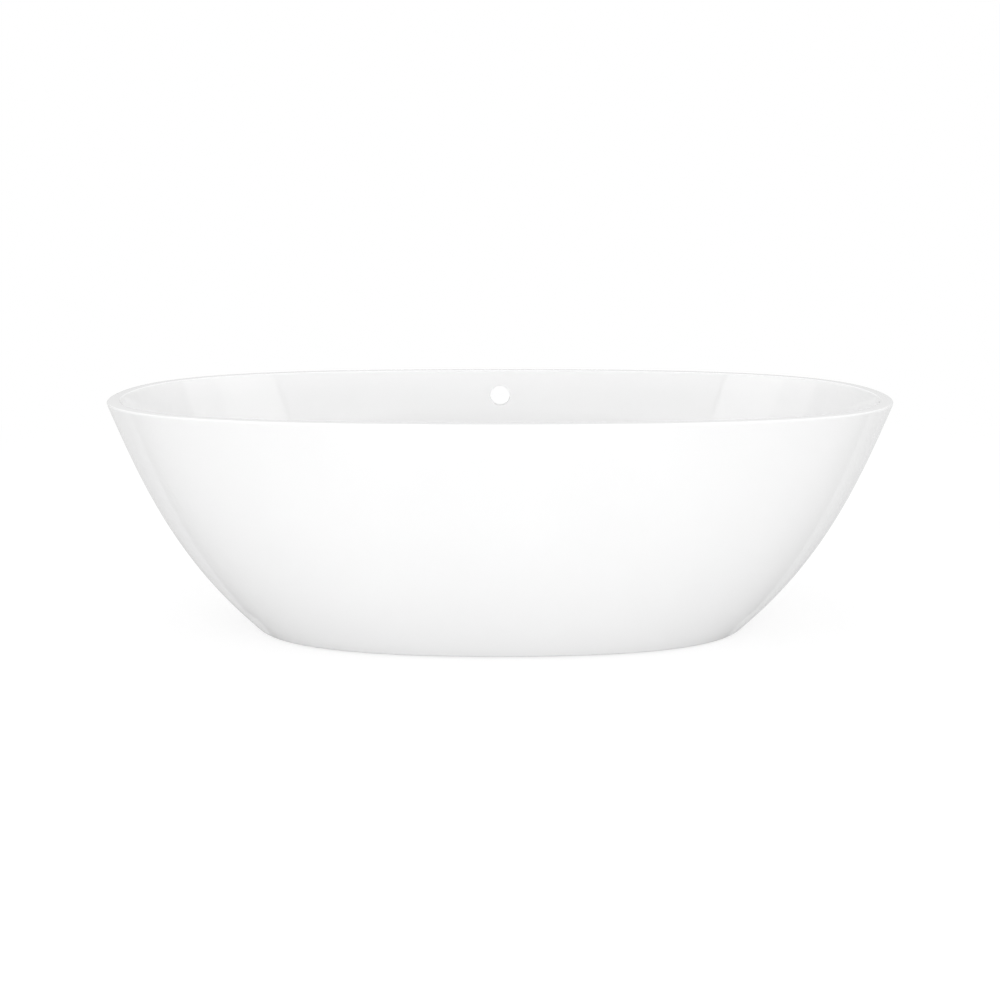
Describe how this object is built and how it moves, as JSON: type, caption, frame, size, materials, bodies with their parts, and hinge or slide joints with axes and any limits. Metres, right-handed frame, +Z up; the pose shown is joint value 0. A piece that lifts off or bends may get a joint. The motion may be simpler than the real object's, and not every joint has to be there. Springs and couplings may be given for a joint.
{
  "type": "freestanding bath",
  "caption": "Freestanding oval bath: white flared shell with a narrow rim, a bare overflow hole in the long wall, a push plug in the floor and levelling feet in its hollow base.",
  "frame": {"origin": "on the floor under the middle of the bath, with the levelling feet at their set height", "axes": "+X along the bath, +Y towards the wall with the overflow hole, +Z up"},
  "size_m": [1.6998, 0.7698, 0.525],
  "materials": {
    "shell_white": "white cast mineral composite, polished to a gloss",
    "plated": "polished chrome plate on brass",
    "raw_brass": "turned brass, unplated",
    "steel": "bright zinc-plated or stainless steel",
    "seal_rubber": "black rubber, slightly dull",
    "washer_plastic": "natural white plastic",
    "pad_plastic": "black moulded nylon"
  },
  "bodies": {
    "bath": {"bath_shell": "shell_white", "drain_body": "plated", "drain_seal_upper": "seal_rubber", "drain_seal_lower": "seal_rubber", "drain_slip_washer": "washer_plastic", "drain_backnut": "raw_brass", "cartridge_body": "raw_brass", "cartridge_collar": "raw_brass", "cartridge_spring": "steel", "foot_inserts": "raw_brass", "foot_lock_nuts": "steel"},
    "plug": {"plug_cap": "plated", "plug_seal": "seal_rubber", "plug_stem": "steel"},
    "foot_front_left": {"foot_stud_front_left": "steel", "foot_pad_front_left": "pad_plastic"},
    "foot_front_right": {"foot_stud_front_right": "steel", "foot_pad_front_right": "pad_plastic"},
    "foot_back_left": {"foot_stud_back_left": "steel", "foot_pad_back_left": "pad_plastic"},
    "foot_back_right": {"foot_stud_back_right": "steel", "foot_pad_back_right": "pad_plastic"}
  },
  "joints": [
    {"name": "plug_lift", "type": "slide", "parent": "bath", "child": "plug", "axis": [0, 0, 1], "range_m": [0, 0.01], "deforming": ["cartridge_spring"]},
    {"name": "foot_front_left_height", "type": "slide", "parent": "bath", "child": "foot_front_left", "axis": [0, 0, -1], "range_m": [-0.003, 0.015]},
    {"name": "foot_front_right_height", "type": "slide", "parent": "bath", "child": "foot_front_right", "axis": [0, 0, -1], "range_m": [-0.003, 0.015]},
    {"name": "foot_back_left_height", "type": "slide", "parent": "bath", "child": "foot_back_left", "axis": [0, 0, -1], "range_m": [-0.003, 0.015]},
    {"name": "foot_back_right_height", "type": "slide", "parent": "bath", "child": "foot_back_right", "axis": [0, 0, -1], "range_m": [-0.003, 0.015]}
  ]
}
